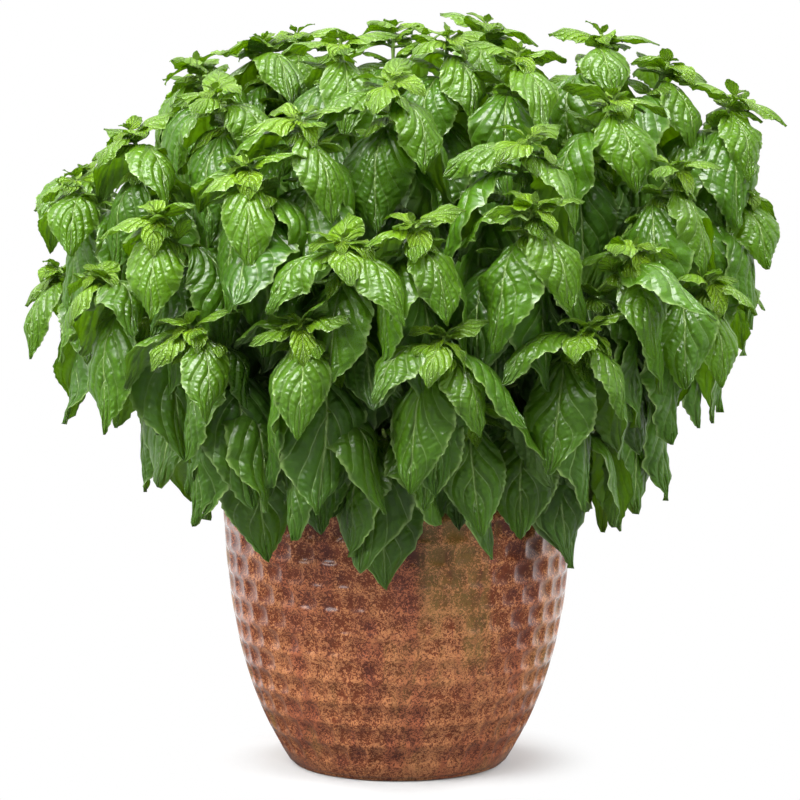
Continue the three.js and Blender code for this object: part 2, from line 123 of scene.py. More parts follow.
PAIRS = pairs_of(
    (0.007, 0.042, 0.022, 56, 50, 62, 0.9, 0),
    (0.015, 0.070, 0.037, 70, 32, 92, 0.75, 0.1),
    (0.032, 0.090, 0.049, 80, 14, 94, 0.55, 0.3),
    (0.058, 0.098, 0.054, 86, 0, 84, 0.45, 0.5),
)
STEEPEST, LEAST_DROOP = radians(-88), radians(25)
STALK = 0.1
SUNK = 0.0012
FOUND_WITHIN = 0.0002  # how near a corner of the node is to the tip of a leaf that it shows
RIPENESS = 0.75  # where a blade is widest: less than 1 is nearer to its stalk
CURL, WAVE, WAVES, EDGE_PHASE = (0.3, 0.6), (0.03, 0.07), 2.2, 1.1
VARIETY = dict(heading=16, rise=10, droop=14, length=0.1, width=0.1, roll=16, sweep=0.09)
BENDS = [(0, 0), (12, 0), (-12, 0), (0, 14), (0, -14), (24, 8), (-24, 8), (26, -12), (-26, -12),
         (0, 30), (40, 18), (-40, 18), (42, -8), (-42, -8), (58, 30), (-58, 30)]
SIZES = (1, 0.84, 0.68)

# Front shoots: across and height of the tip in millimetres, turn of the first pair in degrees, and
# the youngest and the oldest pair that the shoot shows.
FRONT_SHOOTS = [
    (-40, 524, 0, 0, 2), (-5, 498, 70, 1, 2), (35, 528, 40, 0, 2), (84, 516, 15, 1, 2),
    (88, 460, 60, 1, 2), (146, 528, 0, 0, 2), (150, 486, 10, 1, 3), (90, 417, 35, 1, 2),
    (10, 406, 30, 1, 2), (-36, 396, 80, 1, 3), (158, 387, 25, 1, 3), (30, 331, 50, 1, 3),
    (-126, 490, 65, 1, 2), (-100, 443, 20, 1, 2), (-162, 409, 0, 1, 3), (-230, 428, 10, 0, 3),
    (-186, 462, 45, 1, 3), (-145, 508, 80, 1, 2), (242, 484, 15, 1, 3), (191, 440, 50, 1, 3),
    (216, 362, 15, 1, 3), (127, 334, 70, 1, 3), (-64, 340, 10, 1, 3), (-140, 336, 40, 1, 3),
    (-206, 366, 70, 1, 3), (-128, 292, 15, 2, 3), (-65, 290, 60, 2, 3), (-10, 264, 20, 2, 3),
    (54, 288, 75, 2, 3), (109, 270, 30, 2, 3), (146, 260, 55, 2, 3), (248, 420, 20, 1, 3),
    (-66, 474, 30, 1, 2), (-96, 524, 50, 1, 2), (194, 508, 35, 1, 3),
]
# Rows round the back: height in millimetres, number, bearings in degrees, youngest and oldest pair.
BACK_ROWS = [(286, 5, 14, 162, 2, 3), (352, 5, 8, 168, 1, 3), (430, 5, 18, 162, 1, 3),
             (500, 4, 12, 158, 1, 2), (528, 3, 10, 170, 1, 2)]
BACK_SEED, BACK_PLACE_JITTER, BACK_TURN_JITTER = 11, 0.008, 25

# --- What only the scene adds

# A dimple's half sizes as shares of its pitch, across and up, how much the second varies, how
# square its corners are and how its bowl falls. Points this near to the outer skin are pressed in.
DIMPLE_ACROSS, DIMPLE_UP, DIMPLE_VARIES, DIMPLE_CORNERS, DIMPLE_FALL = 0.49, 0.44, 0.03, 3, 2.2
ON_SKIN = 0.0006

# The soil's quads round it and lumps, the dip round a stem, and the crumbs
SOIL_STEPS, LUMPS, LUMP_MOST = 200, 150, 0.6
STEM_DIP, DIP_WITHIN = 0.0016, (0.002, 0.007)
CRUMB_SEED, CRUMB_SIZES, CRUMB_OFF_WALL, CRUMB_OFF_STEM = 5, (0.0012, 0.0038), 0.008, 0.006
CRUMB_LUMPS, CRUMB_ROUGH, CRUMB_FLAT, CRUMB_DOWN = 420, 0.35, 0.75, 0.007

STEM_THIN, STEM_THICK = 0.0012, 0.0026
CORNER_SHARE = 0.45  # of a straight stretch that the rounding of a corner may take
KNOT_SWELL, KNOT_LENGTH = 0.3, 0.003

# Where each kind of draw starts, and its step from one shoot to the next
SEEDS = dict(leaves=(1000, 77), looks=(31, 1), apex=(501, 13), axils=(713, 17), inner=(907, 29))
APEX_PAIRS = pairs_of(
    (0.004, 0.028, 0.0160, 66, 44, 66, 1, 0),
    (0.002, 0.017, 0.0095, 52, 60, 50, 1, 0),
    (0.0, 0.009, 0.0050, 34, 74, 30, 1, 0),
)
APEX_LEAN = 0.55  # how far a rosette faces the outside of the plant
APEX_CURL = -0.25
INNER_BELOW_RIM = 0.02
AXIL_LEAF, = pairs_of((0, 0.030, 0.0155, 48, 55, 60, 1, 0.1))
AXIL_ASIDE, AXIL_FROM = 38, 1  # turn of the two leaves beside a leaf, and the first pair with them
AXIL_SIZES, AXIL_YOUTH, AXIL_DOWN = (0.7, 1.2), (0.4, 0.9), 0.003
INNER_PAIRS = pairs_of(
    (0.095, 0.084, 0.050, 86, 0, 84, 0.5, 0.6),
    (0.130, 0.078, 0.045, 86, 0, 84, 0.5, 0.6),
    (0.165, 0.070, 0.040, 86, 0, 84, 0.5, 0.6),
    (0.205, 0.062, 0.036, 86, 5, 80, 0.5, 0.6),
)
ROWS, COLUMNS = 36, 16  # quads along and across the large leaf; smaller ones have a share of them
STALK_ROWS = 3
STALK_SHARE = STALK_ROWS / ROWS
LEAF_ATTRIBUTES = ("tone", "youth", "age", "under")
ROUNDER_FULLNESS, TIP_DRAWN = 0.74, 0.36
TWIST = 0.5  # of a blade towards its tip, at most
YOUTH, YOUTH_VARIES = (0.75, 0.28, 0.06, 0.0), (0.8, 0.4)
# Leaves grow duller from this height downwards, over this span. The last pair is duller everywhere.
OLD_BELOW, OLD_SPAN, OLD_MOST, LAST_PAIR_AGE, INNER_AGE = 0.380, 0.160, 0.5, 0.15, 0.8
# A blade's form: how its points crowd towards the midrib, how its sides curl down, and how far
# at least and at most. Then its small ripples and slow warp, each with their number, and its
# stalk and the rib on its underside.
ACROSS_POWER, CURL_POWER, OPENED = 1.25, 1.9, (0.6, 1.0)
RIPPLE, RIPPLES, WARP, WARPS = 0.4, 6.3, 0.012, 1.7
STALK_HALF, STALK_BY_LENGTH, STALK_FLAT, RIB, RIB_WIDTH = 0.0003, 0.0125, 0.85, 0.008, 0.1
# How the side veins run: how far they lean and bow towards the tip, how much one side is out of
# step with the other, how far and how often they wander, and the lean of the rungs between them.
RELIEF_LEAN, RELIEF_BOW, RELIEF_SIDE = 0.44, 0.12, 0.35
WANDER, WANDER_ALONG, WANDER_OUT, WANDER_TONE = 0.14, 7.0, 4.0, 6.0
RUNGS, RUNG_LEAN = 17, 0.17
LARGE_LEAF, SMALL_LEAF = 0.055, 0.030  # a leaf up to these lengths has fewer quads
COARSE_FROM_AGE = 0.5  # and so has an old one
KEEP_OFF_RADIUS, KEEP_OFF_ABOVE = 0.134, 0.006  # where leaves with a free place keep off the pot

CAMERA_ASIDE, SENSOR = 0.0014, 36
AIM = (0, 0, 0.3)
LIGHTS = [  # name, place, size, its power in the settings, and if leaves and glaze mirror it
    ("key_light", (-1.9, -1.1, 1.3), 1.3, "key", False),
    ("fill_light", (2.0, -0.9, 1.1), 1.3, "fill", False),
    ("top_light", (-0.4, -0.9, 2.1), 1.5, "top", True),
    ("sheen_light", (-1.6, -1.3, 1.7), 1.5, "sheen", True),
    ("back_light_left", (-1.6, 1.5, 0.9), 1.0, "back", False),
    ("back_light_right", (1.6, 1.5, 0.9), 1.0, "back", False),
]


def lerp(a, b, share):
    return a + (b - a) * share


def clamp(value, low=0.0, high=1.0):
    return min(max(value, low), high)


def smooth(value, low, high):
    share = np.clip((value - low) / (high - low), 0, 1)
    return share * share * (3 - 2 * share)


def unit(vector):
    return vector / np.linalg.norm(vector)


def draws(seed):
    """Evenly spread numbers from 0 to 1, the same on every run and as in the solids' source."""
    state = seed
    while True:
        state = (1664525 * state + 1013904223) % 4294967296
        yield state / 4294967296


def seeded(kind, number):
    first, step = SEEDS[kind]
    return draws(first + step * number)


def spread_of(draw, amount):
    return (next(draw) * 2 - 1) * amount


def deselect():
    if bpy.context.mode != "OBJECT":
        bpy.ops.object.mode_set(mode="OBJECT")
    bpy.ops.object.select_all(action="DESELECT")


def make_active(*objects):
    deselect()
    for thing in objects:
        thing.select_set(True)
    bpy.context.view_layer.objects.active = objects[0]


def coordinates(thing):
    count = len(thing.data.vertices)
    flat = np.empty(count * 3, np.float32)
    thing.data.vertices.foreach_get("co", flat)
    return flat.reshape(count, 3).astype(float)


def set_coordinates(thing, points):
    thing.data.vertices.foreach_set("co", points.astype(np.float32).ravel())
    thing.data.update()


def set_attribute(thing, name, values):
    attribute = thing.data.attributes.get(name) or thing.data.attributes.new(name, "FLOAT", "POINT")
    attribute.data.foreach_set("value", np.asarray(values, np.float32))


def spun(thing, steps):
    """Spins a section round the axis into a closed skin that faces outwards."""
    make_active(thing)
    bpy.ops.object.mode_set(mode="EDIT")
    bpy.ops.mesh.select_all(action="SELECT")
    bpy.ops.mesh.spin(steps=steps, angle=2 * pi, center=(0, 0, 0), axis=(0, 0, 1))
    bpy.ops.mesh.select_all(action="SELECT")
    bpy.ops.mesh.remove_doubles(threshold=1e-6)
    bpy.ops.mesh.normals_make_consistent(inside=False)
    bpy.ops.object.mode_set(mode="OBJECT")


def set_material(thing, *materials):
    thing.data.materials.clear()
    for material in materials:
        thing.data.materials.append(material)


def finish_piece(thing, name, material_slot, *nodes):
    """Names a finished piece, puts it under the root body and hides the nodes that it stands for.
    """
    thing.name = name
    thing.data.name = name
    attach(thing, "root")
    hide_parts(*nodes)


# --- Settings


def colour(name, description, default):
    return FloatVectorProperty(
        name=name, description=description, default=default, subtype="COLOR", min=0, max=1)


def whole(name, description, default, low, high):
    return IntProperty(name=name, description=description, default=default, min=low, max=high)


def amount(name, description, default, low, high, kind="NONE"):
    return FloatProperty(
        name=name, description=description, default=default, min=low, max=high, unit=kind)


def metres(name, description, default, low, high):
    return amount(name, description, default, low, high, "LENGTH")


def watts(name, description, default):
    return amount(name, description, default, 0, 500, "POWER")


class PotSettings(bpy.types.PropertyGroup):
    steps: whole("Steps round", "Quads round the pot", 400, 80, 440)
    dimples: whole("Dimples round", "Dimples in one row", 40, 12, 80)
    rows: whole("Rows", "Rows of dimples", 12, 4, 24)
    depth: metres("Depth", "Depth of a dimple", 0.0029, 0, 0.004)
    body: colour("Glaze", "Red brown ground of the glaze", (0.110, 0.025, 0.009))
    speckle: colour("Speckle", "Tan speckles on it", (0.43, 0.180, 0.072))
    # This maroon also paints shade, in the dimples and towards the top of the wall.
    pool: colour("Pools", "Dark maroon where it lies thick", (0.060, 0.016, 0.012))
    run: colour("Red runs", "Red runs down the wall", (0.26, 0.050, 0.022))
    tint: colour("Olive runs", "Olive runs down the wall", (0.13, 0.090, 0.022))
    clay: colour("Clay", "Bare clay under the foot", (0.30, 0.13, 0.07))


class SoilSettings(bpy.types.PropertyGroup):
    crumbs: whole("Crumbs", "Loose crumbs on top", 170, 0, 400)
    relief: metres("Relief", "Height of its lumps", 0.0022, 0, 0.004)
    moist: colour("Moist soil", "Colour of the wet lumps", (0.018, 0.011, 0.007))
    dry: colour("Dry soil", "Colour of the dry grains", (0.085, 0.052, 0.030))


class LeafSettings(bpy.types.PropertyGroup):
    veins: amount("Side veins", "Side veins on half a leaf", 4.2, 3, 12)
    relief: amount("Relief", "How far it puffs up between its veins, by its width", 0.046, 0, 0.08)
    teeth: amount("Teeth", "Depth of the teeth, by the leaf's width", 0.016, 0, 0.06)
    thickness: metres("Thickness", "Thickness of a blade", 0.0004, 0.0002, 0.0014)
    grown: colour("Grown", "A full-grown leaf", (0.069, 0.173, 0.006))
    dark: colour("Dark", "The darkest leaves", (0.038, 0.112, 0.007))
    young: colour("Young", "Leaves at a shoot's tip", (0.212, 0.372, 0.006))
    inner: colour("Inner", "Old leaves inside the plant", (0.054, 0.122, 0.022))
    vein: colour("Veins", "Midrib and side veins", (0.310, 0.460, 0.130))
    under: colour("Underside", "The paler underside", (0.130, 0.240, 0.055))
    glow: colour("Glow", "Light that comes through a blade", (0.43, 0.645, 0.010))
    stem: colour("Stem", "Soft green stems", (0.180, 0.300, 0.050))
    bark: colour("Old stem", "The brownish foot of a stem", (0.130, 0.110, 0.045))


class StageSettings(bpy.types.PropertyGroup):
    distance: metres("Distance", "Camera to the plant's axis", 2.4, 0.5, 10)
    height: metres("Height", "Camera above the floor", 0.530, 0, 3)
    down: amount("Tilt", "How far the camera looks down", radians(6.32), 0, 1.5, "ROTATION")
    lens: amount("Lens", "Focal length in millimetres", 150, 20, 300)
    key: watts("Key", "Soft light from the left", 60)
    fill: watts("Fill", "Soft light from the right", 56)
    top: watts("Top", "Soft light from above", 112)
    sheen: watts("Sheen", "Light that the leaves and glaze mirror", 24)
    back: watts("Back", "Light from behind, through the leaves", 52)
    floor: amount("Floor", "How white the floor is near the pot", 0.43, 0, 1)
    sky: amount("Surround", "Brightness of the white surround", 0.55, 0, 3)


# --- Materials


def darker(tint, share):
    return [share * channel for channel in tint]


class Shading:
    """The nodes of one material or world, with short ways to add and join them."""

    def __init__(self, owner, output="Material"):
        owner.use_nodes = True
        self.owner = owner
        self.tree = owner.node_tree
        self.tree.nodes.clear()
        self.output = self.node("Output" + output)

    @classmethod
    def of(cls, name):
        return cls(bpy.data.materials.new(name))

    def node(self, kind, inputs=(), **settings):
        made = self.tree.nodes.new("ShaderNode" + kind)
        for key, value in settings.items():
            setattr(made, key, value)
        for key, value in dict(inputs).items():
            self.feed(made.inputs[key], value)
        return made

    def feed(self, socket, value):
        if isinstance(value, bpy.types.NodeSocket):
            self.tree.links.new(value, socket)
        elif socket.type == "RGBA" and len(value) == 3:
            socket.default_value = (*value, 1)
        else:
            socket.default_value = value

    def math(self, operation, *values):
        return self.node("Math", enumerate(values), operation=operation).outputs[0]

    def total(self, *values):
        return reduce(lambda a, b: self.math("ADD", a, b), values)

    def times(self, *values):
        return reduce(lambda a, b: self.math("MULTIPLY", a, b), values)

    def most(self, *values):
        return reduce(lambda a, b: self.math("MAXIMUM", a, b), values)

    def swing(self, value, amount):
        """A pattern that goes from 0 to 1, made to swing about 0."""
        return self.times(self.math("SUBTRACT", value, 0.5), amount)

    def ramp(self, value, low, high, to_low=0.0, to_high=1.0, kind="SMOOTHSTEP"):
        inputs = {"Value": value, "From Min": low, "From Max": high, "To Min": to_low,
                  "To Max": to_high}
        return self.node("MapRange", inputs, interpolation_type=kind).outputs["Result"]

    def mix(self, factor, a, b):
        return self.node("Mix", {0: factor, 6: a, 7: b}, data_type="RGBA").outputs[2]

    def blend(self, factor, a, b):
        """Two shaders, mixed."""
        return self.node("MixShader", {0: factor, 1: a, 2: b}).outputs[0]

    def attribute(self, name):
        return self.node("Attribute", attribute_name=name).outputs["Fac"]

    def noise(self, vector, scale, detail=2.0, roughness=0.5, distortion=0.0):
        inputs = {"Vector": vector, "Scale": scale, "Detail": detail, "Roughness": roughness,
                  "Distortion": distortion}
        return self.node("TexNoise", inputs).outputs["Fac"]

    def cells(self, vector, scale, feature="F1"):
        inputs = {"Vector": vector, "Scale": scale}
        return self.node("TexVoronoi", inputs, feature=feature).outputs["Distance"]

    def bump(self, height, strength, distance):
        inputs = {"Height": height, "Strength": strength, "Distance": distance}
        return self.node("Bump", inputs).outputs["Normal"]

    def place(self):
        return self.node("TexCoord").outputs["Object"]

    def split(self, vector):
        return self.node("SeparateXYZ", {"Vector": vector}).outputs

    def skin(self, tint, roughness, normal, **gloss):
        inputs = {"Base Color": tint, "Roughness": roughness, "Normal": normal}
        inputs.update((key.replace("_", " "), value) for key, value in gloss.items())
        return self.node("BsdfPrincipled", inputs).outputs[0]

    def finish(self, shader):
        self.feed(self.output.inputs["Surface"], shader)
        return self.owner


def glaze_material(look):
    """Tan flecks on a red brown ground, with maroon patches and red and olive runs down the wall.
    In the dimples and towards the top it is darker: partly thick glaze, partly painted shade.
    """
    s = Shading.of("speckled_glaze")
    place = s.place()
    run_down = s.node("Mapping", {"Vector": place, "Scale": (1, 1, 0.13)}).outputs["Vector"]
    dimple = s.attribute("dimple")
    height = s.split(place)["Z"]
    high = s.ramp(height, 0.08, 0.17)
    grain = s.noise(place, 520, 4, 0.68, 1.2)
    fine = s.noise(place, 900, 3, 0.7)
    # Fewer tan flecks in the dimples and towards the top: partly thick glaze, partly painted shade.
    speckled = s.total(
        grain, s.swing(s.noise(place, 34, 4, 0.6), 0.18), s.swing(s.noise(place, 11, 3), 0.14),
        s.times(dimple, s.math("MULTIPLY_ADD", high, -0.05, -0.035)),
        s.ramp(height, 0.10, 0.22, 0.0, -0.055))
    flecks = s.ramp(speckled, 0.44, 0.55)
    # More maroon in the dimples and towards the top: partly thick glaze, partly painted shade of
    # the dimples and of the leaves above.
    pooled_and_shaded = s.total(
        s.noise(place, 60, 4, 0.65), s.times(dimple, s.math("MULTIPLY_ADD", high, 0.12, 0.02)),
        s.ramp(height, 0.12, 0.21, -0.11, 0.05))
    pools_and_shade = s.times(s.ramp(pooled_and_shaded, 0.50, 0.66), s.ramp(fine, 0.3, 0.6, 0.45, 1.0))
    red_runs = s.times(s.ramp(s.noise(run_down, 38, 4, 0.6), 0.46, 0.62), 0.85)
    olive_runs = s.times(s.ramp(s.noise(run_down, 23, 4, 0.65, 0.4), 0.52, 0.68), 0.60)
    specks = s.times(s.ramp(s.noise(place, 620, 3, 0.72), 0.56, 0.64), 0.55)
    ground = s.mix(pools_and_shade, look.body, look.pool)
    ground = s.mix(olive_runs, ground, look.tint)
    tan = s.mix(s.ramp(fine, 0.35, 0.75), look.speckle, darker(look.speckle, 0.75))
    tan = s.mix(s.times(red_runs, 0.7), tan, look.run)
    skin = s.mix(s.times(flecks, 0.88), s.mix(red_runs, ground, look.pool), tan)
    skin = s.mix(s.times(olive_runs, 0.35), skin, look.tint)
    skin = s.mix(specks, skin, look.pool)
    relief = s.total(s.times(grain, 0.25), s.noise(place, 90, 2))
    return s.finish(s.skin(
        skin, s.ramp(flecks, 0, 1, 0.30, 0.40), s.bump(relief, 0.35, 0.0005),
        Specular_IOR_Level=0.25, Coat_Weight=1.0, Coat_Roughness=0.07))


def clay_material(look):
    s = Shading.of("bare_clay")
    grog = s.ramp(s.noise(s.place(), 520, 3, 0.7), 0.35, 0.7)
    skin = s.mix(grog, darker(look.clay, 0.6), look.clay)
    return s.finish(s.skin(skin, 0.85, s.bump(grog, 0.4, 0.0005)))


def soil_material(look):
    s = Shading.of("potting_soil_mix")
    place = s.place()
    lumps = s.noise(place, 160, 5, 0.7)
    grains = s.cells(place, 520)
    dry = s.ramp(s.total(lumps, s.times(grains, -0.25)), 0.38, 0.66)
    relief = s.total(lumps, s.times(grains, 0.6))
    return s.finish(s.skin(s.mix(dry, look.moist, look.dry), s.ramp(dry, 0, 1, 0.62, 0.95),
                           s.bump(relief, 0.9, 0.0016)))


def leaf_material(look):
    """A puckered green blade. Its veins follow the leaf's own map, in step with the relief."""
    s = Shading.of("basil_leaf")
    place = s.place()
    tone, youth, age, under = (s.attribute(name) for name in LEAF_ATTRIBUTES)
    share = s.split(s.node("UVMap", uv_map="UVMap").outputs["UV"])
    blade_share = 1 - STALK_SHARE
    along = s.math("MULTIPLY_ADD", share["X"], 1 / blade_share, -STALK_SHARE / blade_share)
    across = s.math("MULTIPLY_ADD", share["Y"], 2, -1)
    out = s.math("ABSOLUTE", across)
    side = s.math("GREATER_THAN", across, 0)

    # Side veins, the rungs between them, and the net of small puckers
    lean = s.total(s.times(out, RELIEF_LEAN), s.times(out, out, RELIEF_BOW))
    wander = s.math("SINE", s.total(
        s.times(along, WANDER_ALONG), s.times(out, WANDER_OUT), s.times(tone, WANDER_TONE)))
    phase = s.total(s.times(s.math("SUBTRACT", along, lean), look.veins),
                    s.times(side, RELIEF_SIDE), tone, s.times(wander, WANDER))
    near_vein = s.math("PINGPONG", phase, 0.5)
    puff = s.ramp(near_vein, 0.0, 0.34)
    crease = s.ramp(near_vein, 0.0, 0.065, 1, 0)
    rung = s.math("MULTIPLY_ADD", out, RUNG_LEAN, along)
    small_step = s.total(
        s.times(rung, RUNGS), s.times(tone, 3), s.times(s.noise(place, 110, 2), 1.5))
    small = s.math("PINGPONG", small_step, 0.5)
    small_puff = s.times(s.ramp(small, 0.0, 0.5), s.ramp(out, 0.1, 0.9, 1.0, 0.3))
    net = s.node("CombineXYZ", {
        "X": s.times(phase, 1.3), "Y": s.times(rung, 11), "Z": s.times(tone, 9)}).outputs[0]
    pucker = s.cells(net, 1.0, "DISTANCE_TO_EDGE")
    pucker_puff = s.ramp(pucker, 0.0, 0.42)
    rib = s.ramp(out, 0.015, 0.070, 1, 0)
    blade = s.ramp(along, 0.0, 0.06)
    rough_skin = s.noise(place, 1500, 2)
    relief = s.total(s.times(puff, 0.70), s.times(small_puff, 0.16), s.times(pucker_puff, 0.38),
                     s.times(crease, -0.15), s.times(rib, -0.4), s.times(rough_skin, 0.04))
    facing = s.ramp(under, 0, 1, 1, -0.8)
    normal = s.bump(s.times(relief, blade, facing), 1.0, 0.0015)

    # Green by the leaf's tone, youth and age, then pale veins, painted shade in the creases and a
    # pale underside
    shade = s.total(s.ramp(tone, -1, 1, 0.15, 0.75), s.swing(s.noise(place, 38, 3), 0.7))
    green = s.mix(s.math("MINIMUM", s.most(shade, 0), 1), look.dark, look.grown)
    green = s.mix(s.times(youth, s.ramp(along, 0.0, 1.0, 1.0, 0.45)), green, look.young)
    green = s.mix(s.times(age, 0.85), green, look.inner)
    lines = s.most(
        rib, s.times(crease, s.ramp(out, 0.2, 1.0, 0.66, 0.30)),
        s.times(s.ramp(pucker, 0.0, 0.05, 1, 0), 0.05), s.times(s.ramp(out, 0.92, 1.0), 0.60),
        s.ramp(along, -0.01, 0.05, 0.7, 0))
    lines = s.times(lines, s.ramp(age, 0, 0.5, 1.0, 1.5))
    veined = s.mix(s.math("MINIMUM", lines, 1), green, look.vein)
    # Painted shade: the creases between the puckers are darkened.
    painted_crease_shade = s.times(s.ramp(s.times(puff, pucker_puff), 0.0, 0.5, 0.30, 0.0), blade,
                     s.ramp(youth, 0, 1, 1.0, 0.35))
    veined = s.mix(painted_crease_shade, veined, darker(look.dark, 0.5))
    skin = s.mix(s.times(under, s.ramp(youth, 0, 1, 0.8, 0.2)), veined, look.under)
    shine = s.total(
        s.ramp(rough_skin, 0.3, 0.7, 0.25, 0.36), s.times(under, 0.25), s.times(age, 0.12))
    gloss = s.skin(skin, shine, normal, Specular_IOR_Level=0.88)
    lit = s.mix(s.times(age, 0.6), s.mix(lines, look.glow, darker(look.glow, 0.6)), look.inner)
    through = s.node("BsdfTranslucent", {"Color": lit, "Normal": normal}).outputs[0]
    return s.finish(s.blend(0.40, gloss, through))


def stem_material(look):
    s = Shading.of("basil_stem")
    place = s.place()
    streak = s.noise(place, 240, 3)
    woody = s.ramp(s.total(s.split(place)["Z"], s.times(streak, 0.05)), 0.21, 0.36, 0.8, 0.0)
    skin = s.mix(woody, look.stem, look.bark)
    skin = s.mix(s.ramp(streak, 0.35, 0.75, 0.0, 0.35), skin, darker(look.stem, 0.55))
    return s.finish(s.skin(skin, 0.45, s.bump(streak, 0.4, 0.0004)))


# --- Pot


def cubic(points, share):
    """The point at a share of the way along a cubic curve."""
    rest = 1 - share
    weights = (rest ** 3, 3 * share * rest ** 2, 3 * share ** 2 * rest, share ** 3)
    return sum(weight * np.array(point) for weight, point in zip(weights, points))


def pot_radius(height):
    """The outer radius of the pot, on the ridges between its dimples."""
    top_radius, top = POT_CURVE[-1]
    if height >= top:
        return top_radius - RIM_TUCK * (height - top) / (POT_HEIGHT - top)
    low, high = 0.0, 1.0
    for _ in range(30):
        middle = (low + high) / 2
        if cubic(POT_CURVE, middle)[1] < height:
            low = middle
        else:
            high = middle
    return cubic(POT_CURVE, low)[0]


def rounded_corner(centre, radius, start, turn, steps=6):
    """Points on an arc in the plane of radius and height. Angles are in degrees."""
    angles = [radians(start + turn * i / steps) for i in range(steps + 1)]
    return [(centre[0] + radius * cos(a), centre[1] + radius * sin(a)) for a in angles]


def pot_outline():
    """The wall's section, round it once: drain hole, floor, inside, rim, outside, foot, recess."""
    foot_radius, lip, past_drain = pot_radius(0.0), WALL / 2, DRAIN_RADIUS + CHAMFER
    inner_foot = foot_radius - RECESS_INSET
    heights = np.linspace(POT_HEIGHT - lip - 0.0015, POT_EDGE + 0.0008, 140)
    return [
        *((r, FLOOR) for r in np.linspace(past_drain, pot_radius(FLOOR) - WALL - FILLET, 6)),
        *((pot_radius(z) - WALL, z) for z in np.linspace(FLOOR + 0.004, POT_HEIGHT - FILLET, 14)),
        *rounded_corner((pot_radius(POT_HEIGHT) - lip, POT_HEIGHT - lip), lip, 180, -180, 12),
        *((pot_radius(z), z) for z in heights),
        *rounded_corner((foot_radius - POT_EDGE, POT_EDGE), POT_EDGE, 0, -90),
        (inner_foot + 0.0015, 0.0), (inner_foot, CHAMFER), (inner_foot - CHAMFER, RECESS),
        *((r, RECESS) for r in np.linspace(inner_foot - FILLET, past_drain, 5)),
        (DRAIN_RADIUS, RECESS + CHAMFER), (DRAIN_RADIUS, FLOOR - CHAMFER)]


def press_dimples(points, settings):
    """Rows of smooth oval dimples, each row half a dimple on from the last. Returns their depth."""
    pitch = (POT_HEIGHT - FOOT_BAND - LIP_BAND) / (settings.rows + 1 / 3)
    radius = np.hypot(points[:, 0], points[:, 1])
    column = np.arctan2(points[:, 1], points[:, 0]) * settings.dimples / (2 * pi)
    row = (points[:, 2] - FOOT_BAND) / pitch - 2 / 3
    levels = np.linspace(0, POT_HEIGHT, 200)
    outer = np.interp(points[:, 2], levels, [pot_radius(level) for level in levels])
    on_wall = (outer - radius < ON_SKIN) & (points[:, 2] > FOOT_BAND / 2)
    nearest = np.clip(np.round(row), 0, settings.rows - 1)
    shift = (nearest % 2) / 2
    place = np.round(column - shift)
    away = column - shift - place
    variety = 0.5 + 0.5 * np.sin(place * 12.9898 + nearest * 78.233)
    up = (row - nearest) / (DIMPLE_UP + DIMPLE_VARIES * variety)
    measure = np.abs(away / DIMPLE_ACROSS) ** DIMPLE_CORNERS + np.abs(up) ** DIMPLE_CORNERS
    bowl = np.clip(1 - (measure ** (1 / DIMPLE_CORNERS)) ** DIMPLE_FALL, 0, 1) * on_wall
    depth = bowl * settings.depth * (0.75 + 0.25 * variety)
    points[:, :2] *= (1 - depth / np.maximum(radius, 0.01))[:, None]
    return bowl


class BASIL_OT_pot(bpy.types.Operator):
    """The glazed stoneware pot: its section spun round the axis, then dimpled"""
    bl_idname = "basil.pot"
    bl_label = "Glazed pot"

    def execute(self, context):
        settings = context.scene.basil_pot
        outline = pot_outline()
        deselect()
        bpy.ops.mesh.primitive_circle_add(vertices=len(outline), radius=1)
        pot = context.object
        set_coordinates(pot, np.array([(radius, 0, height) for radius, height in outline]))
        spun(pot, settings.steps)
        points = coordinates(pot)
        set_attribute(pot, "dimple", press_dimples(points, settings))
        set_coordinates(pot, points)
        bpy.ops.object.shade_smooth()
        set_material(pot, glaze_material(settings), clay_material(settings))
        bare_from = pot_radius(0) - POT_EDGE
        for face in pot.data.polygons:
            x, y, z = face.center
            if z < FLOOR and hypot(x, y) < bare_from:
                face.material_index = 1
        finish_piece(pot, "glazed_pot", "glaze", "pot")
        return {"FINISHED"}


# --- Soil


def soil_outline():
    """From the middle of the underside round to the middle of the top."""
    gap = WALL + SOIL_GAP
    heights = np.linspace(FLOOR + SOIL_GAP, SOIL_EDGE_TOP, 14)
    side = [(pot_radius(z) - gap, z) for z in heights]
    edge = side[-1][0]
    under = [(r, heights[0]) for r in np.linspace(0, side[0][0], 6)[:-1]]
    slope = [(edge - SOIL_SLOPE * i / 12, lerp(SOIL_EDGE_TOP, SOIL_TOP, i / 12))
             for i in range(1, 13)]
    flat = [(r, SOIL_TOP) for r in np.linspace(edge - SOIL_SLOPE, 0, 62)[1:]]
    return under + side + slope + flat


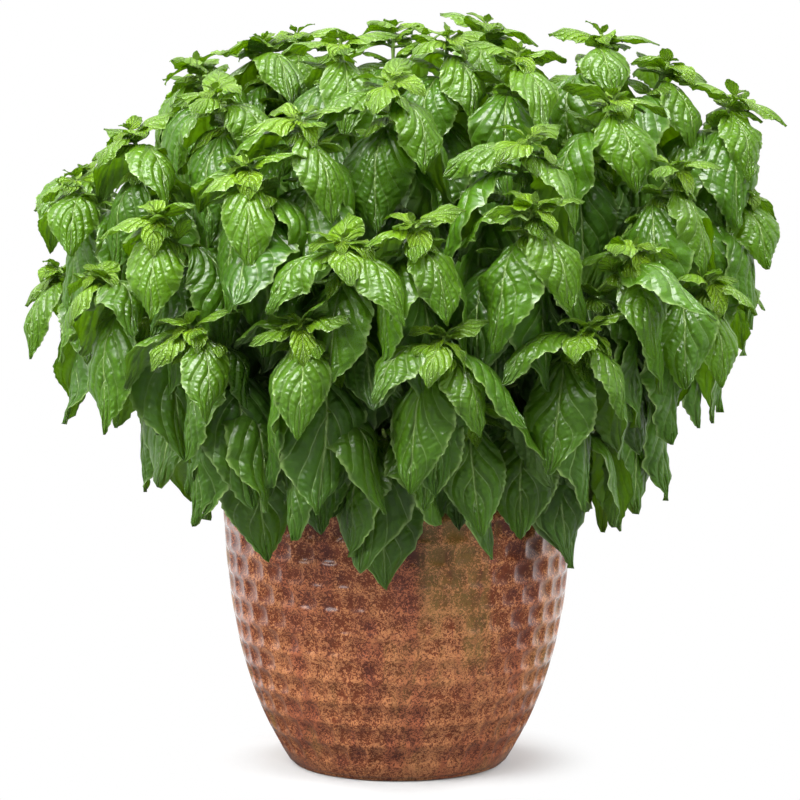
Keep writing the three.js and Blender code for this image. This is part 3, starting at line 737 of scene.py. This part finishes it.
class BASIL_OT_soil(bpy.types.Operator):
    """The potting soil: a lumpy fill with a dip round each stem and loose crumbs on top"""
    bl_idname = "basil.soil"
    bl_label = "Potting soil"

    def execute(self, context):
        settings = context.scene.basil_soil
        outline = soil_outline()
        deselect()
        bpy.ops.mesh.primitive_plane_add(size=1)
        soil = context.object
        edit = bmesh.new()
        line = [edit.verts.new((radius, 0, height)) for radius, height in outline]
        for a, b in zip(line, line[1:]):
            edit.edges.new((a, b))
        edit.to_mesh(soil.data)
        edit.free()
        spun(soil, SOIL_STEPS)
        roots = [shoot["root"] for shoot in all_shoots()]
        set_coordinates(soil, self.roughen(coordinates(soil), roots, settings.relief))
        make_active(soil, *self.crumbs(settings, roots))
        bpy.ops.object.join()
        bpy.ops.object.shade_smooth()
        set_material(soil, soil_material(settings))
        finish_piece(soil, "soil_fill", "soil", "potting_soil")
        return {"FINISHED"}

    def roughen(self, points, roots, relief):
        reach = pot_radius(SOIL_EDGE_TOP) - WALL
        for point in points:
            radius = hypot(point[0], point[1])
            if point[2] < SOIL_EDGE_TOP or radius > reach - 0.001:
                continue
            lumps = noise.fractal(Vector(point) * LUMPS, 0.8, 2.0, 4)
            dip = STEM_DIP * (1 - float(smooth(self.off_stems(*point[:2], roots), *DIP_WITHIN)))
            point[2] += relief * clamp(lumps, -1, LUMP_MOST) - dip
        return points

    def off_stems(self, x, y, roots):
        return min(hypot(x - root[0], y - root[1]) for root in roots)

    def crumbs(self, settings, roots):
        draw = draws(CRUMB_SEED)
        made = []
        reach = pot_radius(SOIL_EDGE_TOP) - WALL - CRUMB_OFF_WALL
        for i in range(settings.crumbs):
            radius = reach * sqrt(next(draw))
            bearing = 2 * pi * next(draw)
            size = lerp(*CRUMB_SIZES, next(draw) ** 2)
            x, y = radius * cos(bearing), radius * sin(bearing)
            if self.off_stems(x, y, roots) < CRUMB_OFF_STEM:
                continue
            level = SOIL_TOP - CRUMB_DOWN * clamp((radius - reach + 0.010) / SOIL_SLOPE)
            deselect()
            bpy.ops.mesh.primitive_ico_sphere_add(subdivisions=2, radius=size)
            crumb = bpy.context.object
            points = coordinates(crumb)
            for point in points:
                lump = noise.noise(Vector(point) * CRUMB_LUMPS + Vector((i, 0, 0)))
                point *= 1 + CRUMB_ROUGH * lump
            points[:, 2] *= CRUMB_FLAT
            set_coordinates(crumb, points + np.array([x, y, level + size * 0.25]))
            made.append(crumb)
        return made


# --- Shoots


def dome_share(height):
    span = DOME_ABOVE if height > DOME_CENTRE else DOME_BELOW
    return sqrt(max(0, 1 - ((height - DOME_CENTRE) / span) ** 2))


def shoot_tips():
    """The tips of all shoots, in the order of their nodes, by the rule of the solids' source."""
    tips = []
    for across, height, turn, youngest, oldest in FRONT_SHOOTS:
        x, z = across * MM, height * MM
        depth = sqrt(max(0, dome_share(z) ** 2 - (x / DOME_X) ** 2))
        tips.append((np.array([x, -DOME_Y * depth, z]), turn, youngest, oldest))
    draw = draws(BACK_SEED)
    for height, number, first, last, youngest, oldest in BACK_ROWS:
        z = height * MM
        share = dome_share(z)
        for i in range(number):
            bearing = lerp(first, last, i / (number - 1))
            on_dome = (DOME_X * share * cos(radians(bearing)),
                       DOME_Y * share * sin(radians(bearing)), z)
            tip = np.array([value + spread_of(draw, BACK_PLACE_JITTER) for value in on_dome])
            turn = bearing + spread_of(draw, BACK_TURN_JITTER)
            tips.append((tip, turn, youngest, oldest))
    return tips


def stem_path(root, tip):
    """The stem's straight stretches, from the soil to the tip."""
    distance = np.linalg.norm(tip - root)
    outward = np.array([tip[0] / DOME_X, tip[1] / DOME_Y, 0])
    high = clamp((tip[2] - UPRIGHT["low"]) / UPRIGHT["span"])
    lift = lerp(UPRIGHT["least"], UPRIGHT["most"], high)
    axis = unit(outward + lift * UP)
    handles = [root, root + STRAIGHT_UP * distance * UP, tip - LEAN_OUT * distance * axis, tip]
    return [root, *(cubic(handles, share) for share in STEM_STATIONS), tip]


def all_shoots():
    """Every shoot with its node, its root over the point of the node's foot, and its path."""
    shoots = []
    foot = SOIL_TOP - STEM_IN_SOIL - STEM_POINT
    for number, (tip, turn, youngest, oldest) in enumerate(shoot_tips()):
        node = f"leafy_stem_{number + 1:02d}"
        corners = coordinates(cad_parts[node])
        inside = corners[np.hypot(*corners[:, :2].T) < ROOTS_WITHIN]
        point = inside[np.abs(inside[:, 2] - foot).argmin()]
        root = np.array([point[0], point[1], SOIL_TOP])
        shoots.append(dict(number=number, node=node, corners=corners, root=root, turn=turn,
                           youngest=youngest, oldest=oldest, path=stem_path(root, tip)))
    return shoots


def node_on(path, back):
    """The point a distance back from the tip along the path, and the way the stem runs there."""
    rest = back
    for i in range(len(path) - 1, 0, -1):
        along = path[i] - path[i - 1]
        length = np.linalg.norm(along)
        along = along / length
        if rest <= length or i == 1:
            return path[i] - rest * along, along
        rest -= length


def across_of(direction):
    """Two directions across another one, so that the three are right-handed."""
    side = unit(np.array([1.0, 0, 0]) - direction * direction[0])
    return side, np.cross(direction, side)


def rounded_path(shoot, reach=0.012, step=0.005):
    """The stem's centre line from its foot to its tip, with its corners rounded."""
    path = [shoot["root"] - STEM_IN_SOIL * UP, *shoot["path"]]
    points = [path[0]]
    for before, corner, after in zip(path, path[1:], path[2:]):
        start, end = (corner + unit(way) * min(reach, np.linalg.norm(way) * CORNER_SHARE)
                      for way in (before - corner, after - corner))
        points += [start, (start + 2 * corner + end) / 4, end]
    points.append(path[-1])
    fine = [points[0]]
    for a, b in zip(points, points[1:]):
        parts = max(1, ceil(np.linalg.norm(b - a) / step))
        fine += [lerp(a, b, (i + 1) / parts) for i in range(parts)]
    return np.array(fine)


# --- Leaves


def crossed(shoot, pairs):
    """The pairs one by one, each square to the last, and the turn of each leaf of a pair."""
    for k in pairs:
        for side in (0, 1):
            yield k, shoot["turn"] + 90 * k + 180 * side


def leaf_of(shoot, pair, own, turn, lean=0.0):
    """One leaf's place and form, from its pair's numbers, its own and its turn in degrees."""
    turn = radians(turn)
    at, along = node_on(shoot["path"], pair["back"])
    along = unit(along + lean * np.array([at[0] / DOME_X, at[1] / DOME_Y, 0]))
    x, y = across_of(along)
    spread = radians(pair["spread"])
    direction = along * cos(spread) + sin(spread) * (cos(turn) * x + sin(turn) * y)
    heading = atan2(direction[1], direction[0])
    off = atan2(at[1], at[0]) - heading
    off = atan2(sin(off), cos(off))
    return {
        **own,
        "at": at,
        "heading": heading + pair["outward"] * off + radians(own["heading"]),
        "rise": min(np.arcsin(direction[2]), radians(pair["rise"])) + radians(own["rise"]),
        "droop": radians(pair["droop"] + own["droop"]),
        "length": pair["length"] * own["length"],
        "width": pair["width"] * own["width"],
        "roll": radians(own["roll"]),
        "bend": pair["bend"],
    }


def own_numbers(draw):
    own = {key: spread_of(draw, VARIETY[key]) for key in ("heading", "rise", "droop")}
    own.update((key, 1 + spread_of(draw, VARIETY[key])) for key in ("length", "width"))
    own.update((key, spread_of(draw, VARIETY[key])) for key in ("roll", "sweep"))
    return {**own, "curl": lerp(*CURL, next(draw)), "wave": lerp(*WAVE, next(draw)),
            "phase": 2 * pi * next(draw)}


def bent(leaf, bend, size):
    turn, lift = bend
    rise = leaf["rise"] + radians(lift)
    return {**leaf, "heading": leaf["heading"] + radians(turn), "rise": rise,
            "droop": max(min(leaf["droop"], rise - STEEPEST), LEAST_DROOP),
            "length": leaf["length"] * size, "width": leaf["width"] * size}


def midrib(leaf, s):
    """Points of the midrib at shares of the leaf, and the ways left and square to the blade."""
    s = np.atleast_1d(np.asarray(s, float))
    share = np.minimum(s / leaf["bend"], 1)
    pitch = leaf["rise"] - leaf["droop"] * share
    radius = leaf["length"] * leaf["bend"] / leaf["droop"]
    straight = leaf["length"] * (s - share * leaf["bend"])
    forward = radius * (sin(leaf["rise"]) - np.sin(pitch)) + straight * np.cos(pitch)
    upward = radius * (np.cos(pitch) - cos(leaf["rise"])) + straight * np.sin(pitch)
    ahead = np.array([cos(leaf["heading"]), sin(leaf["heading"]), 0])
    level = np.array([-ahead[1], ahead[0], 0])
    square = np.cos(pitch)[:, None] * UP - np.sin(pitch)[:, None] * ahead
    left = level * cos(leaf["roll"]) + square * sin(leaf["roll"])
    normal = square * cos(leaf["roll"]) - level * sin(leaf["roll"])
    centre = (leaf["at"] + forward[:, None] * ahead + upward[:, None] * UP
              + (leaf["sweep"] * leaf["length"] * s * s)[:, None] * level)
    return centre, left, normal


def way_in_source(leaf, corners):
    """The way in which the solids' source has bent this leaf, or None if it has left it out."""
    best, way = FOUND_WITHIN, None
    for size in SIZES:
        for bend in BENDS:
            tried = bent(leaf, bend, size)
            tip = midrib(tried, 1)[0][0]
            miss = np.abs(corners - tip).max(axis=1).min()
            if miss < best:
                best, way = miss, tried
    return way


def half_width(leaf, t):
    """Half the blade's width: the solids' outline, a little fuller, with the tip drawn out."""
    t = np.clip(t, 0, 1)
    oval = np.sin(pi * t ** RIPENESS) ** ROUNDER_FULLNESS
    return leaf["width"] / 2 * oval * (1 - TIP_DRAWN * smooth(t, 0.62, 1.0))


class Blades:
    """Leaf templates, and the leaves that are copied from them."""

    def __init__(self, look):
        self.look = look
        self.material = leaf_material(look)
        self.templates = [self.template(ROWS // share, COLUMNS // share) for share in (1, 2, 3)]

    def template(self, rows, columns):
        """A flat closed sheet: along X, across Y, with its top at 1 and its underside at 0."""
        deselect()
        bpy.ops.mesh.primitive_grid_add(x_subdivisions=rows, y_subdivisions=columns, size=2)
        sheet = bpy.context.object
        bpy.ops.object.mode_set(mode="EDIT")
        bpy.ops.mesh.select_all(action="SELECT")
        bpy.ops.mesh.extrude_region_move(TRANSFORM_OT_translate={"value": (0, 0, 1)})
        bpy.ops.mesh.select_all(action="SELECT")
        bpy.ops.mesh.normals_make_consistent(inside=False)
        bpy.ops.object.mode_set(mode="OBJECT")
        bpy.ops.object.shade_smooth_by_angle(angle=radians(60))
        set_material(sheet, self.material)
        for name in LEAF_ATTRIBUTES:
            sheet.data.attributes.new(name, "FLOAT", "POINT")
        points = coordinates(sheet)
        return dict(sheet=sheet, rows=rows, along=(points[:, 0] + 1) / 2, across=points[:, 1],
                    top=points[:, 2] > 0.5, fine=(columns / COLUMNS) ** 2)

    def surface(self, leaf, template):
        """Where the template's points go on this leaf."""
        along, across, top = template["along"], template["across"], template["top"]
        length, width, phase = leaf["length"], leaf["width"], leaf["phase"]
        t = np.clip((along - STALK_SHARE) / (1 - STALK_SHARE), 0, 1)
        on_stalk = np.clip(along / STALK_SHARE, 0, 1)
        s = np.where(t > 0, STALK + (1 - STALK) * t, lerp(-SUNK / length, STALK, on_stalk))
        on_blade = smooth(t, 0.0, 0.12)
        side, out = np.sign(across), np.abs(across)
        v = side * out ** ACROSS_POWER
        centre, left, normal = midrib(leaf, s)
        ahead = np.cross(left, normal)
        twist = (TWIST * sin(3.1 * phase) * smooth(t, 0.15, 1.0))[:, None]
        cosine, sine = np.cos(twist), np.sin(twist)
        left, normal = cosine * left + sine * normal, cosine * normal - sine * left

        stalk_half = STALK_HALF + STALK_BY_LENGTH * length
        stalky = 1 - smooth(t, 0.0, 0.3)
        half = (half_width(leaf, t) ** 3 + (stalk_half * stalky) ** 3) ** (1 / 3) + STALK_HALF
        row = np.round(along * template["rows"])
        tooth = (row % 2) * smooth(t, 0.05, 0.2) * (1 - smooth(t, 0.93, 1)) * smooth(out, 0.8, 1)
        tooth *= self.look.teeth * width * (1 + 0.5 * np.sin(row * 2.7 + phase))
        half = half + tooth

        wave = np.sin(2 * pi * WAVES * s + phase + side * EDGE_PHASE) * out ** 2
        ripple = RIPPLE * np.sin(2 * pi * RIPPLES * s + 2.3 * phase + side * 2) * out ** 3
        warp = WARP * np.sin(2 * pi * WARPS * s + 1.7 * phase + 2.1 * across)
        lift = leaf["wave"] * width * (wave + ripple) + warp * width
        opened = lerp(*OPENED, 0.5 + 0.5 * sin(5 * phase))
        lift = lift - opened * leaf["curl"] * half * np.abs(v) ** CURL_POWER

        step = (t - RELIEF_LEAN * out - RELIEF_BOW * out ** 2) * self.look.veins
        wander = np.sin(WANDER_ALONG * t + WANDER_OUT * out + WANDER_TONE * leaf["tone"])
        vein = step + RELIEF_SIDE * (across > 0) + leaf["tone"] + WANDER * wander
        puff = np.sin(pi * vein) ** 2 * (0.7 + 0.3 * np.sin(9.5 * out + 4 * step + 5 * phase))
        pleats = 0.5 + 0.5 * template["fine"] * puff ** 0.7
        across_puff = smooth(out, 0.0, 0.22) * (1 - out ** 4)
        lift = (lift + self.look.relief * width * pleats * across_puff) * on_blade

        thick = self.look.thickness / 2 * lerp(1.0, 0.5, smooth(out, 0.8, 1.0))
        round_stalk = stalk_half * STALK_FLAT * np.sqrt(np.clip(1 - out ** 2, 0.01, 1))
        thick = lerp(round_stalk, thick, smooth(t, 0.0, 0.16))
        rib = RIB * length * np.exp(-((out / RIB_WIDTH) ** 2)) * (1 - t) ** 0.6 * on_blade
        height = lift + np.where(top, thick, -thick - rib)
        points = centre + (v * half)[:, None] * left + height[:, None] * normal
        return points + (0.4 * tooth)[:, None] * ahead

    def add(self, leaf):
        """One leaf as an object of its own, copied from the template that fits its size."""
        share = int(leaf["length"] <= LARGE_LEAF) + int(leaf["length"] <= SMALL_LEAF)
        if leaf["age"] > COARSE_FROM_AGE:
            share = max(share, 1)
        template = self.templates[share]
        blade = bpy.data.objects.new("blade", template["sheet"].data.copy())
        bpy.context.collection.objects.link(blade)
        set_coordinates(blade, self.surface(leaf, template))
        for name in LEAF_ATTRIBUTES[:3]:
            set_attribute(blade, name, np.full(len(template["top"]), leaf[name]))
        set_attribute(blade, "under", np.where(template["top"], 0.0, 1.0))
        return blade

    def finish(self):
        for template in self.templates:
            bpy.data.objects.remove(template["sheet"])


class Clearance:
    """How far a new leaf is from the leaves that are there already."""

    def __init__(self):
        self.points = []
        self.tree = None

    def samples(self, leaf):
        s = np.linspace(0.2, 1, 9)
        centre, left, _ = midrib(leaf, s)
        half = half_width(leaf, (s - STALK) / (1 - STALK))[:, None]
        return np.concatenate([centre, centre + 0.8 * half * left, centre - 0.8 * half * left])

    def take(self, leaves):
        for leaf in leaves:
            self.points.extend(self.samples(leaf))
        self.tree = KDTree(len(self.points))
        for i, point in enumerate(self.points):
            self.tree.insert(point, i)
        self.tree.balance()

    def room(self, leaf):
        """The least distance to another leaf, or less than 0 where it would be in the pot."""
        samples = self.samples(leaf)
        low = samples[samples[:, 2] < POT_HEIGHT + KEEP_OFF_ABOVE]
        if len(low) and np.hypot(low[:, 0], low[:, 1]).min() < KEEP_OFF_RADIUS:
            return -1.0
        return min(self.tree.find(point)[2] for point in samples)

    def roomiest(self, leaf):
        """The leaf bent to where it has most room, or None where every way is in the pot."""
        ways = [bent(leaf, bend, 1) for bend in BENDS]
        rooms = [self.room(way) for way in ways]
        best = int(np.argmax(rooms))
        return ways[best] if rooms[best] >= 0 else None


def dressed(leaf, draw, youth, age):
    return {**leaf, "tone": spread_of(draw, 1), "youth": youth, "age": age}


def source_leaves(shoot):
    """The leaves that the node shows, with a younger pair for its tip, and those it leaves out."""
    draw, looks = seeded("leaves", shoot["number"]), seeded("looks", shoot["number"])
    youngest, last = shoot["youngest"], len(PAIRS) - 1
    shown, spare = [], []
    for k, turn in crossed(shoot, range(len(PAIRS))):
        own = own_numbers(draw)
        if k < youngest and (k > 0 or youngest > 1):
            continue
        leaf = leaf_of(shoot, PAIRS[k], own, turn)
        youth = YOUTH[k] * (YOUTH_VARIES[0] + YOUTH_VARIES[1] * next(looks))
        low = clamp((OLD_BELOW - leaf["at"][2]) / OLD_SPAN)
        age = OLD_MOST * low + (LAST_PAIR_AGE if k == last else 0.0)
        leaf = dressed(leaf, looks, min(youth, 1), age)
        way = leaf
        if k >= youngest:
            way = way_in_source(leaf, shoot["corners"]) if k <= shoot["oldest"] else None
        (shown if way else spare).append(way or leaf)
    return shown, spare


def apex_leaves(shoot):
    """The tiny cupped leaves in the middle of a rosette."""
    draw = seeded("apex", shoot["number"])
    leaves = []
    for k, turn in crossed(shoot, (-1, -2, -3)):
        own = {**own_numbers(draw), "curl": APEX_CURL}
        leaf = leaf_of(shoot, APEX_PAIRS[-k - 1], own, turn, APEX_LEAN)
        leaves.append(dressed(leaf, draw, 1.0, 0.0))
    return leaves


def axil_leaves(shoot):
    """Two small fresh leaves in the axil of each large one, where a side shoot begins."""
    draw = seeded("axils", shoot["number"])
    leaves = []
    for k, turn in crossed(shoot, range(max(AXIL_FROM, shoot["youngest"]), len(PAIRS))):
        pair = {**AXIL_LEAF, "back": PAIRS[k]["back"] - AXIL_DOWN}
        for aside in (-AXIL_ASIDE, AXIL_ASIDE):
            own = own_numbers(draw)
            own["length"] *= lerp(*AXIL_SIZES, next(draw))
            leaf = leaf_of(shoot, pair, own, turn + aside, APEX_LEAN / 2)
            leaves.append(dressed(leaf, draw, lerp(*AXIL_YOUTH, next(draw)), 0.0))
    return leaves


def inner_leaves(shoot):
    """Old dull leaves further down the stem, which close the plant's inside."""
    draw = seeded("inner", shoot["number"])
    leaves = []
    for k, turn in crossed(shoot, range(len(INNER_PAIRS))):
        leaf = leaf_of(shoot, INNER_PAIRS[k], own_numbers(draw), turn)
        leaf = dressed(leaf, draw, 0.0, INNER_AGE)
        if leaf["at"][2] > POT_HEIGHT - INNER_BELOW_RIM:
            leaves.append(leaf)
    return leaves


def add_stem(shoot, material):
    """A tapered stem, thicker where its leaves sit, as a swept curve turned into a mesh."""
    points = rounded_path(shoot)
    steps = np.linalg.norm(np.diff(points, axis=0), axis=1)
    back = np.concatenate([np.cumsum(steps[::-1])[::-1], [0]])
    taper = lerp(STEM_THIN, STEM_THICK, np.clip(back / back[0], 0, 1))
    knots = [pair["back"] for pair in PAIRS + INNER_PAIRS]
    swell = sum(np.exp(-(((back - knot) / KNOT_LENGTH) ** 2)) for knot in knots)
    curve = bpy.data.curves.new("stem", "CURVE")
    curve.dimensions = "3D"
    curve.bevel_depth = MM
    curve.bevel_resolution = 2
    curve.use_fill_caps = True
    spline = curve.splines.new("POLY")
    spline.points.add(len(points) - 1)
    for knot, point, radius in zip(spline.points, points, taper * (1 + KNOT_SWELL * swell)):
        knot.co = (*point, 1)
        knot.radius = radius / MM
    stem = bpy.data.objects.new("stem", curve)
    bpy.context.collection.objects.link(stem)
    make_active(stem)
    bpy.ops.object.convert(target="MESH")
    stem = bpy.context.object
    bpy.ops.object.shade_smooth()
    set_material(stem, material)
    return stem


class BASIL_OT_leafy_stems(bpy.types.Operator):
    """The leafy stems: each a tapered stem with its pairs of waved and puckered leaves"""
    bl_idname = "basil.leafy_stems"
    bl_label = "Leafy stems"

    def execute(self, context):
        look = context.scene.basil_leaf
        blades = Blades(look)
        stem_skin = stem_material(look)
        shoots = all_shoots()
        clearance = Clearance()
        for shoot in shoots:
            shoot["leaves"], shoot["spare"] = source_leaves(shoot)
            clearance.take(shoot["leaves"])
        for shoot in shoots:
            extra = [clearance.roomiest(leaf) for leaf in shoot["spare"] + inner_leaves(shoot)]
            placed = list(filter(None, extra))
            clearance.take(placed)
            shoot["leaves"] += placed + axil_leaves(shoot)
            if shoot["youngest"] < 2:
                shoot["leaves"] += apex_leaves(shoot)
        for shoot in shoots:
            stem = add_stem(shoot, stem_skin)
            make_active(stem, *(blades.add(leaf) for leaf in shoot["leaves"]))
            bpy.ops.object.join()
            name = shoot["node"].replace("leafy_stem", "basil_shoot")
            finish_piece(stem, name, "leaf", shoot["node"])
        blades.finish()
        return {"FINISHED"}


# --- Stage


class BASIL_OT_stage(bpy.types.Operator):
    """White floor and surround, soft lights and the camera"""
    bl_idname = "basil.stage"
    bl_label = "Stage"

    def execute(self, context):
        settings = context.scene.basil_stage
        self.floor(settings.floor)
        self.surround(settings.sky)
        for name, place, size, lit_by, mirrored in LIGHTS:
            self.light(name, place, size, getattr(settings, lit_by), mirrored)
        bpy.ops.object.camera_add(
            location=(CAMERA_ASIDE, -settings.distance, settings.height),
            rotation=(pi / 2 - settings.down, 0, 0))
        camera = context.object
        camera.name = "camera"
        camera.data.lens = settings.lens
        camera.data.sensor_width = SENSOR
        camera.data.clip_end = 50
        context.scene.camera = camera
        context.scene.view_settings.view_transform = "Standard"
        context.scene.view_settings.look = "None"
        return {"FINISHED"}

    def floor(self, albedo):
        """It takes a soft shadow near the pot, and is plain white further out."""
        deselect()
        bpy.ops.mesh.primitive_plane_add(size=24)
        floor = bpy.context.object
        floor.name = "floor"
        s = Shading.of("white_floor")
        place = s.place()
        away = s.node("VectorMath", {0: place}, operation="LENGTH").outputs["Value"]
        behind = s.ramp(s.split(place)["Y"], -0.05, 0.35, 0.08, 0.95)
        ray = s.node("LightPath").outputs
        near = s.node("BsdfDiffuse", {"Color": [albedo] * 3}).outputs[0]
        white = s.node("Emission", {"Color": (1, 1, 1), "Strength": 1.0}).outputs[0]
        bounce = s.node("BsdfDiffuse", {"Color": [0.36] * 3}).outputs[0]
        mirrored = s.node("Emission", {"Color": (1, 1, 1), "Strength": behind}).outputs[0]
        seen = s.blend(s.ramp(away, 0.085, 0.150), near, white)
        other = s.blend(ray["Is Glossy Ray"], bounce, mirrored)
        set_material(floor, s.finish(s.blend(ray["Is Camera Ray"], other, seen)))
        floor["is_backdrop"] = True

    def surround(self, strength):
        """White all round, dimmer in front of the plant so that its colours stay deep."""
        world = bpy.context.scene.world or bpy.data.worlds.new("surround")
        bpy.context.scene.world = world
        s = Shading(world, "World")
        way = s.split(s.node("TexCoord").outputs["Generated"])
        front = s.ramp(way["Y"], -0.3, 0.5, 0.3 * strength, 2 * strength, "LINEAR")
        above = s.ramp(way["Z"], 0.3, 0.9, 0, 1.6 * strength, "LINEAR")
        seen = s.node("LightPath").outputs["Is Camera Ray"]
        bright = s.node("Mix", {"Factor": seen, "A": s.total(front, above), "B": 1.0})
        s.finish(s.node("Background", {
            "Color": (1, 1, 1), "Strength": bright.outputs["Result"]}).outputs[0])

    def light(self, name, place, size, power, mirrored):
        deselect()
        aim = Vector(AIM) - Vector(place)
        bpy.ops.object.light_add(
            type="AREA", location=place, rotation=aim.to_track_quat("-Z", "Y").to_euler())
        lamp = bpy.context.object
        lamp.name = name
        lamp.data.size = size
        lamp.data.energy = power
        lamp.visible_glossy = mirrored


# --- Panel and registration

PIECES = (BASIL_OT_pot, BASIL_OT_soil, BASIL_OT_leafy_stems, BASIL_OT_stage)
SETTINGS = {"basil_pot": PotSettings, "basil_soil": SoilSettings, "basil_leaf": LeafSettings,
            "basil_stage": StageSettings}


class BASIL_PT_panel(bpy.types.Panel):
    """Lists the pieces of the potted basil plant"""
    bl_idname = "BASIL_PT_panel"
    bl_label = "Potted basil"
    bl_space_type = "VIEW_3D"
    bl_region_type = "UI"
    bl_category = "Basil"

    def draw(self, context):
        for piece, settings in zip(PIECES, SETTINGS):
            box = self.layout.box()
            group = getattr(context.scene, settings)
            for name in group.__annotations__:
                box.prop(group, name)
            box.operator(piece.bl_idname)


def register():
    for group in (*SETTINGS.values(), *PIECES, BASIL_PT_panel):
        bpy.utils.register_class(group)
    for name, group in SETTINGS.items():
        setattr(bpy.types.Scene, name, PointerProperty(type=group))


def unregister():
    for name in SETTINGS:
        delattr(bpy.types.Scene, name)
    for group in (BASIL_PT_panel, *reversed(PIECES), *SETTINGS.values()):
        bpy.utils.unregister_class(group)


def main():
    register()
    bpy.ops.basil.pot()
    bpy.ops.basil.soil()
    bpy.ops.basil.leafy_stems()
    bpy.ops.basil.stage()
    boxes = {"source": SOURCE_BOX, "visual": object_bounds()}
    {name: [list(corner) for corner in box] for name, box in boxes.items()}


if __name__ == "__main__":
    main()
